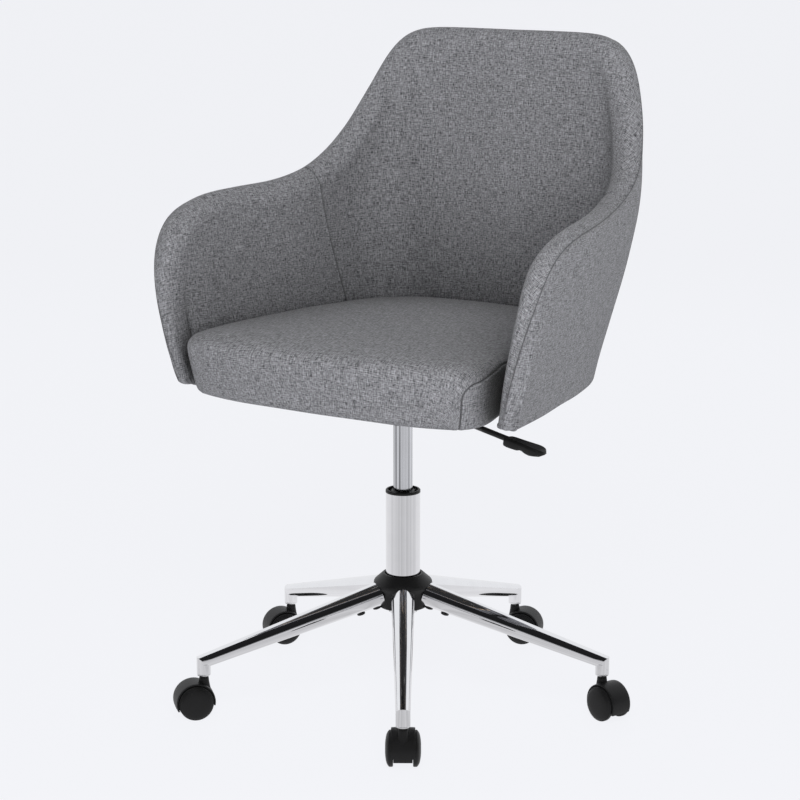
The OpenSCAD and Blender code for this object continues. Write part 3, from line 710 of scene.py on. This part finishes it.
def leg(number):
    """A tapered round tube that ends flush with the outer wall of its caster socket."""
    line = LEG_TIP - LEG_ROOT
    length = np.linalg.norm(line)
    forward = np.array((line[0], 0, line[1])) / length
    across = np.array((0.0, 1.0, 0.0))
    upward = np.cross(forward, across)
    angle = np.arange(64) * 2 * math.pi / 64
    ring = np.cos(angle)[:, None] * upward + np.sin(angle)[:, None] * across
    start = np.array((LEG_ROOT[0], 0, LEG_ROOT[1])) + ring * LEG_ROOT_R
    ruling = forward + ring * (LEG_TIP_R - LEG_ROOT_R) / length
    at = start[:, :2] - (LEG_TIP[0], 0)
    a = np.sum(ruling[:, :2] ** 2, -1)
    b = 2 * np.sum(at * ruling[:, :2], -1)
    c = np.sum(at**2, -1) - SOCKET_R**2
    reach = (-b + np.sqrt(np.maximum(b * b - 4 * a * c, 0))) / (2 * a)
    rings = [start + ruling * reach[:, None] * share for share in (0, 0.02, 0.5, 0.95, 1)]
    tube, faces = loft(rings, capped=False)
    low, high = rings[-1][48:16:-1], np.roll(rings[-1], 16, 0)[:33]
    low = np.concatenate([low, rings[-1][16:17]])
    cap = []
    for share in np.linspace(0, 1, 6):
        p = mix(high, low, share)
        p[:, 0] = LEG_TIP[0] + np.sqrt(np.maximum(SOCKET_R**2 - p[:, 1] ** 2, 0))
        cap.append(p)
    cap_faces = [list(f) for f in grid_faces(6, 33)]
    base = [list(range(64))[::-1]]
    points, faces = joined((tube, faces + base), (np.concatenate(cap), cap_faces))
    # Heights are over the socket's mouth, in millimetres. A fine groove runs round just above it
    profile = np.array([(0, 10.5), (5.2, 10.5), (5.2, 0.4), (5.6, 0), (9.0, 0), (9.6, 0.25), (9.95, 0.9),
                        (9.95, 2.0), (9.7, 2.3), (9.95, 2.6), (9.95, 17.5), (0, 17.5)]) * MM + (0, SOCKET_Z)
    socket, socket_faces = lathe(profile, 64)
    points, faces = joined((points, faces), (socket + (LEG_TIP[0], 0, 0), socket_faces))
    place = turned(leg_turn[number - 1])
    piece(f"chrome_leg_{number}", (place(points), faces), "base", "chrome", [f"leg_{number}"], bevel=0.7 * MM)


for n in range(1, LEGS + 1):
    leg(n)


def hub():
    """The black hub: a drum with a flared cap, a lip round the tube and a relieved underside."""
    outline = fillet([(26.2, 178), (26.2, 186.2), (29.0, 186.8), (42.4, 174.8), (43.0, 170.0), (37.8, 161.0),
                      (36.8, 148.0), (36.0, 137.2), (33.5, 136.2), (23.5, 136.2)],
                     [0.6, 2, 2.2, 1.2, 5, 3, 1.5, 0.6], 5)
    drum = lathe(np.array([(21.5, 141)] + outline[::-1] + [(21.5, 178)]) * MM, 128, ring=True)
    piece("hub_shell", drum, "base", "black_plastic", ["base_hub"], sharp=50)


hub()


# ---------- Casters ----------
def swept(section, stations):
    """A closed solid: a section, as (radius, y) points, carried round the axle through angles in degrees."""
    r, y = np.array(section).T
    return loft([np.stack([r * math.cos(a), y, r * math.sin(a)], -1) for a in np.radians(stations)])


def fender_section(inner_r, outer_r, half_width, lip):
    top = fillet([(inner_r, half_width), (outer_r - lip / 2, half_width), (outer_r, half_width - 4 * lip),
                  (outer_r + 0.3 * MM, 0)], [lip, 2.5 * lip])
    return top + [p * (1, -1) for p in top[-2::-1]]


def caster(number):
    """A twin-wheel caster: a hood with the web between the wheels and the neck over them, and the wheels."""
    swivel = np.array(joints[f"caster_swivel_{number}"]["pos_m"])
    axle = np.array(joints[f"wheel_roll_{number}_left"]["pos_m"])
    aim_at = axle - swivel
    trail = np.linalg.norm(aim_at[:2])
    place = turned(math.degrees(math.atan2(aim_at[1], aim_at[0])), axle)
    wheel_r = axle[2]
    web_r = wheel_r + 0.6 * MM
    web_half = 13 * MM
    flat = 12 * MM - wheel_r
    start = math.asin(flat / web_r)
    arc = np.linspace(start, math.pi - start, 56)
    web = loft([np.stack([web_r * np.cos(arc), y + 0 * arc, np.maximum(web_r * np.sin(arc), flat)], -1)
                for y in (-web_half, web_half)])
    hood = swept(fender_section(wheel_r + 1.2 * MM, wheel_r + 3.5 * MM, 16.5 * MM, 0.7 * MM),
                 np.linspace(-24, 192, 60))
    rib_low, rib_high, rib_half = wheel_r + 0.2 * MM, wheel_r + 1.4 * MM, 12.8 * MM
    rib = swept([(rib_low, rib_half), (rib_high, rib_half), (rib_high, -rib_half), (rib_low, -rib_half)],
                np.linspace(-22, 190, 48))
    neck_top = 58 - wheel_r / MM
    neck = fillet([(5.2, neck_top), (6.8, neck_top), (7.4, neck_top - 6), (8.5, 20), (10.5, 12)], [0.4, 1, 3])
    neck, neck_faces = lathe(np.array(neck[::-1] + [(5.2, 12)]) * MM, 48, ring=True)
    points, faces = joined(web, hood, rib, (neck - (trail, 0, 0), neck_faces))
    piece(f"caster_fender_{number}", (place(points), faces), f"caster_{number}", "black_plastic",
          [f"caster_body_{number}"], bevel=0.5 * MM)
    rim = wheel_r / MM
    disc = fillet([(4.1, 13.6), (rim - 1, 13.6), (rim, 14.6), (rim, 18.6), (24.3, 19.7), (24.0, 19.3),
                   (23.6, 20.1), (20.5, 22.2), (14.0, 23.8), (7.0, 24.4)],
                  [0.3, 0.4, 1.2, 0.3, 0.2, 0.3, 3, 4])
    spun, spun_faces = lathe(np.array(disc + [(0, 24.45), (0, 22.3), (4.1, 22.3)]) * MM, 96, ring=True)
    for side, sign in (("left", 1), ("right", -1)):
        wheel = spun[:, [0, 2, 1]] * (1, sign, 1)
        piece(f"twin_wheel_{number}_{side}", (place(wheel), spun_faces), f"wheel_{number}_{side}",
              "black_plastic", [f"wheel_{number}_{side}"], sharp=28)


for n in range(1, LEGS + 1):
    caster(n)


# ---------- Lever paddle ----------
PADDLE_TILT = math.radians(8.5)
PADDLE_TURN = -4
PADDLE_PLACE = (0.225, -0.082, 0.429)


def paddle():
    """A moulded handle: a narrow neck, a flat top with a bevel, and two humps under it for the fingers."""
    # Half width, top and underside at places along the handle, in millimetres
    stations = np.array([-7.5, -6.5, -2, 3, 9, 15, 20, 23, 26, 31, 37, 43, 48, 52, 55, 56.2])
    half = np.interp(stations, [-7.5, -6.5, 0, 10, 22, 38, 46, 52, 56.2],
                     [6.4, 8.0, 8.8, 9.4, 10.2, 12.2, 12.4, 10.2, 4.5])
    top = np.interp(stations, [-7.5, -4, 4, 46, 53, 56.2], [4.4, 6.2, 6.8, 5.8, 4.4, 2.2])
    foot = np.interp(stations, [-7.5, -6, 4, 15, 21, 24, 31, 38, 46, 52, 56.2],
                     [-5.6, -7.4, -7.4, -6.8, -4.6, -5.0, -6.8, -7.2, -5.6, -4.6, -2.0])
    rings = []
    for x, w, z, low in zip(stations, half, top, foot):
        corners = [(w - 2.6, z), (w - 0.5, z - 2.0), (w, z - 3.4), (w - 0.2, mix(low, z, 0.28)),
                   (w - 2.0, low + 0.7), (w - 3.6, low)]
        one = [(x, y, h) for y, h in corners]
        other = [(x, -y, h) for y, h in corners[::-1]]
        rings.append(one + other)
    points, faces = loft(np.array(rings) * MM)
    c, s = math.cos(PADDLE_TILT), math.sin(PADDLE_TILT)
    points = points @ np.array([[c, 0, -s], [0, 1, 0], [s, 0, c]])
    points = turned(PADDLE_TURN, PADDLE_PLACE)(points)
    piece("paddle_grip", (points, faces), "lever", "black_plastic", ["lever_paddle"], sharp=60,
          bevel=0.45 * MM)


paddle()


# ---------- Floor and light ----------
def glow(name, base, colour, strength):
    return surface(name, Roughness=0.9, Specular_IOR_Level=0.0, Base_Color=(*base, 1),
                   Emission_Color=(*colour, 1), Emission_Strength=strength)


def square(reach, height):
    corners = [(-1, -1), (1, -1), (1, 1), (-1, 1)]
    return [(reach * x, reach * y, height) for x, y in corners], [(0, 1, 2, 3)]


def floor():
    """A pale sheet that is mostly its own light, so that it shows as evenly as a studio's sweep."""
    sheet = mesh_of("floor", *square(60, 0))
    sheet.materials.append(glow("floor", grey(0.05, 1.04), (0.888, 0.896, 0.930), 0.965)[0])
    placed("floor", sheet)


def card(name, points, faces, material):
    """A sheet beside the set that only polished surfaces see."""
    mesh = mesh_of(name, points, faces)
    mesh.materials.append(material)
    obj = placed(name, mesh)
    for ray in ("camera", "diffuse", "shadow", "transmission", "volume_scatter"):
        setattr(obj, "visible_" + ray, False)


def dome(middle, half_width, low, high, radius):
    """Part of a sphere about the chair: directions in degrees round from +X, heights in degrees."""
    across = np.radians(np.linspace(middle - half_width, middle + half_width, 33))
    rise = np.radians(np.linspace(low, high, 13))
    points = [(radius * math.cos(e) * math.cos(a), radius * math.cos(e) * math.sin(a), radius * math.sin(e))
              for e in rise for a in across]
    return points, grid_faces(13, 33)


def cards():
    """What chrome reflects: a dark room on one side, a pale wall opposite, and the floor's falling light."""
    front = -57.5
    base = grey(0.01, 1.1)
    dark = glow("dark_card", base, grey(0.02), 0.3)[0]
    pale = glow("pale_card", base, (0.90, 0.91, 0.93), 0.97)[0]
    card("dark_card", *dome(front, 80, 9, 80, 6.0), dark)
    card("pale_card", *dome(front + 180, 96, 1, 88, 7.0), pale)
    material, tree, shader = glow("floor_card", base, (0.9, 0.9, 0.92), 0.6)
    place = add(tree, "TexCoord").outputs["Object"]
    way = add(tree, "VectorMath", {0: place}, operation="NORMALIZE").outputs[0]
    towards = (math.cos(math.radians(front)), math.sin(math.radians(front)), 0.0)
    facing = add(tree, "VectorMath", {0: way, 1: towards}, operation="DOT_PRODUCT").outputs["Value"]
    bands = textured(tree, way, 5.0, 3.0)
    away = maths(tree, "MULTIPLY", maths(tree, "SUBTRACT", 1.0, facing), 0.13)
    streak = maths(tree, "MULTIPLY", maths(tree, "SUBTRACT", bands, 0.5), 0.45)
    strength = maths(tree, "ADD", maths(tree, "ADD", away, 0.67), streak)
    tree.links.new(strength, shader.inputs["Emission Strength"])
    card("floor_card", *square(9.0, 0.4 * MM), material)


def soft_light(name, place, power):
    """A square lamp aimed at the chair. Polished surfaces don't see it: the cards light them instead."""
    data = bpy.data.lights.new(name, "AREA")
    data.shape = "RECTANGLE"
    data.size, data.size_y = 1.8, 1.8
    data.energy = power
    obj = placed(name, data)
    obj.location = place
    obj.visible_glossy = False
    obj.rotation_euler = (Vector((0, 0, 0.5)) - obj.location).to_track_quat("-Z", "Y").to_euler()


floor()
cards()
world = bpy.data.worlds.new("world")
world.use_nodes = True
background = world.node_tree.nodes["Background"]
background.inputs["Color"].default_value = (0.88, 0.895, 0.93, 1)
background.inputs["Strength"].default_value = 0.26
scene.world = world
soft_light("key", (1.4, -2.1, 2.6), 62)
soft_light("fill", (2.0, -2.5, 1.2), 44)
soft_light("rear", (-1.3, 2.6, 2.2), 20)
scene.view_settings.view_transform = "Standard"
